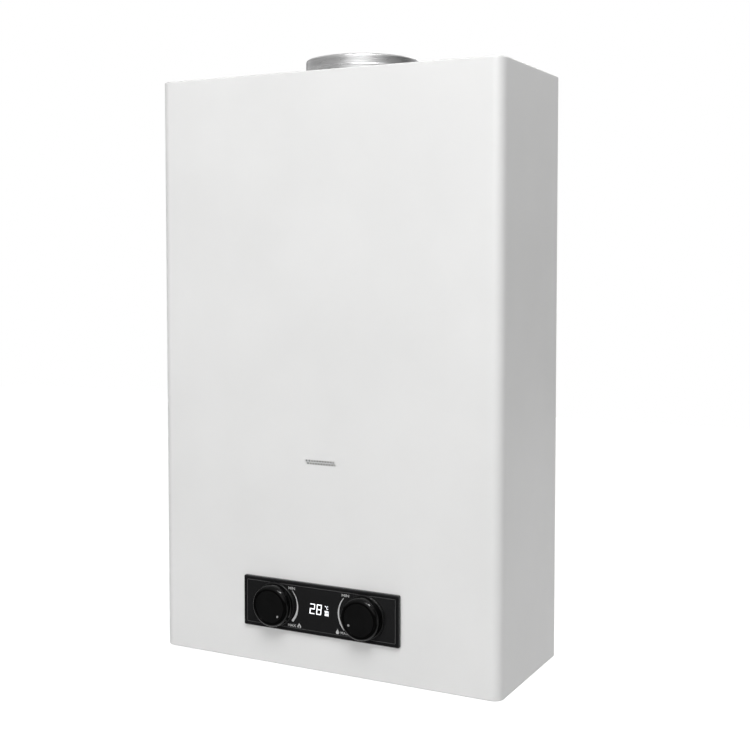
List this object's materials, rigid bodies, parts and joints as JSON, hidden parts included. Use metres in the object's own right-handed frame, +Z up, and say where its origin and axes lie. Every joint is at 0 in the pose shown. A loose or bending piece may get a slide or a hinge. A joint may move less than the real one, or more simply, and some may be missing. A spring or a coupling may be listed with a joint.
{
  "type": "instantaneous gas water heater",
  "caption": "Wall-hung open-flue gas water heater: white sheet case, steel flue collar on top, black control panel with gas and water knobs and a digit display.",
  "frame": {"origin": "on the wall plane, midway between the two upper wall screws that the heater hangs on", "axes": "+X to the right seen from the front, -Y to the front, +Z up"},
  "size_m": [0.35, 0.1546, 0.5804],
  "materials": {
    "case_paint": "white powder coat, satin",
    "zinc_sheet": "galvanised sheet, dull",
    "alu_steel": "aluminised steel sheet, satin",
    "flue_steel": "brushed stainless steel",
    "burner_steel": "pressed stainless steel, satin",
    "copper_sheet": "copper sheet, dulled",
    "copper_fins": "copper fins with a thin tinned coat",
    "copper_tube": "drawn copper tube, satin",
    "brass_parts": "turned brass, satin",
    "cast_alloy": "die-cast alloy, slightly rough",
    "coil_paint": "dark plated coil housing, satin",
    "spring_steel": "spring steel, bright",
    "screw_steel": "zinc plated, bright",
    "filter_mesh": "fine mesh on a plastic basket",
    "membrane_rubber": "moulded rubber, matte",
    "knob_black": "black moulding, gloss side and matte face",
    "panel_gloss": "black moulding, gloss",
    "display_window": "dark display window, gloss",
    "circuit_board": "solder-masked board, satin",
    "battery_moulding": "black moulding, fine texture",
    "control_moulding": "pale moulding, fine texture",
    "switch_black": "black moulding, satin",
    "cell_jacket": "plain jacketed cells, satin",
    "ceramic": "glazed ceramic sleeve",
    "silicone_lead": "silicone-covered lead, matte",
    "pvc_lead": "covered low-voltage leads, matte"
  },
  "bodies": {
    "heater": {"back_plate": "zinc_sheet", "batteries": "cell_jacket", "battery_box": "battery_moulding", "battery_contact": "spring_steel", "bottom_bracket": "zinc_sheet", "burner_bars": "burner_steel", "burner_frame": "burner_steel", "chamber_brackets": "zinc_sheet", "cold_inlet": "brass_parts", "combustion_chamber": "copper_sheet", "control_box": "control_moulding", "control_lid": "control_moulding", "diaphragm": "membrane_rubber", "diaphragm_cover": "cast_alloy", "display_board": "circuit_board", "display_module": "display_window", "drain_plug": "brass_parts", "draught_sensor": "alu_steel", "exchanger_caps": "copper_sheet", "exchanger_fins": "copper_fins", "exchanger_tubes": "copper_tube", "feed_pipe": "copper_tube", "flame_sensor": "ceramic", "flue_collar": "flue_steel", "flue_hood": "alu_steel", "front_cover": "case_paint", "gas_inlet": "brass_parts", "gas_manifold": "alu_steel", "gas_solenoid": "coil_paint", "gas_valve_body": "cast_alloy", "hood_baffle": "alu_steel", "hot_outlet": "brass_parts", "hot_pipe": "copper_tube", "ignition_electrode": "ceramic", "ignition_lead": "silicone_lead", "injectors": "brass_parts", "inlet_filter": "filter_mesh", "lid_pin": "spring_steel", "lock_nuts": "brass_parts", "microswitch": "switch_black", "outlet_sensor": "brass_parts", "overheat_thermostat": "alu_steel", "panel_face": "panel_gloss", "panel_frame": "panel_gloss", "pipe_unions": "brass_parts", "return_spring": "spring_steel", "screws": "screw_steel", "sensor_lead": "silicone_lead", "water_valve_body": "cast_alloy", "wiring_harness": "pvc_lead"},
    "gas_knob_unit": {"gas_knob": "knob_black", "gas_spindle": "brass_parts"},
    "water_knob_unit": {"water_knob": "knob_black", "water_spindle": "brass_parts"},
    "battery_lid_unit": {"battery_lid": "battery_moulding", "lid_contact": "spring_steel"},
    "pushrod_unit": {"pushrod": "brass_parts"},
    "switch_lever_unit": {"switch_lever": "spring_steel"}
  },
  "joints": [
    {"name": "gas_knob_turn", "type": "hinge", "parent": "heater", "child": "gas_knob_unit", "pos_m": [-0.0463, -0.1436, -0.4425], "axis": [0, -1, 0], "range_deg": [0, 90]},
    {"name": "water_knob_turn", "type": "hinge", "parent": "heater", "child": "water_knob_unit", "pos_m": [0.0463, -0.1436, -0.4425], "axis": [0, 1, 0], "range_deg": [0, 90]},
    {"name": "battery_lid_hinge", "type": "hinge", "parent": "heater", "child": "battery_lid_unit", "pos_m": [0.124, -0.0548, -0.4988], "axis": [1, 0, 0], "range_deg": [0, 100]},
    {"name": "pushrod_slide", "type": "slide", "parent": "heater", "child": "pushrod_unit", "axis": [-1, 0, 0], "range_m": [0, 0.003], "stiffness_N_per_m": 300, "springref_m": -0.004, "deforming": ["return_spring"]},
    {"name": "switch_lever_tilt", "type": "hinge", "parent": "heater", "child": "switch_lever_unit", "pos_m": [-0.0174, -0.07, -0.424], "axis": [0, 1, 0], "range_deg": [0, 13.8]}
  ],
  "couplings": [
    {"joint": "switch_lever_tilt", "follows": "pushrod_slide", "rad_per_m": 80}
  ]
}
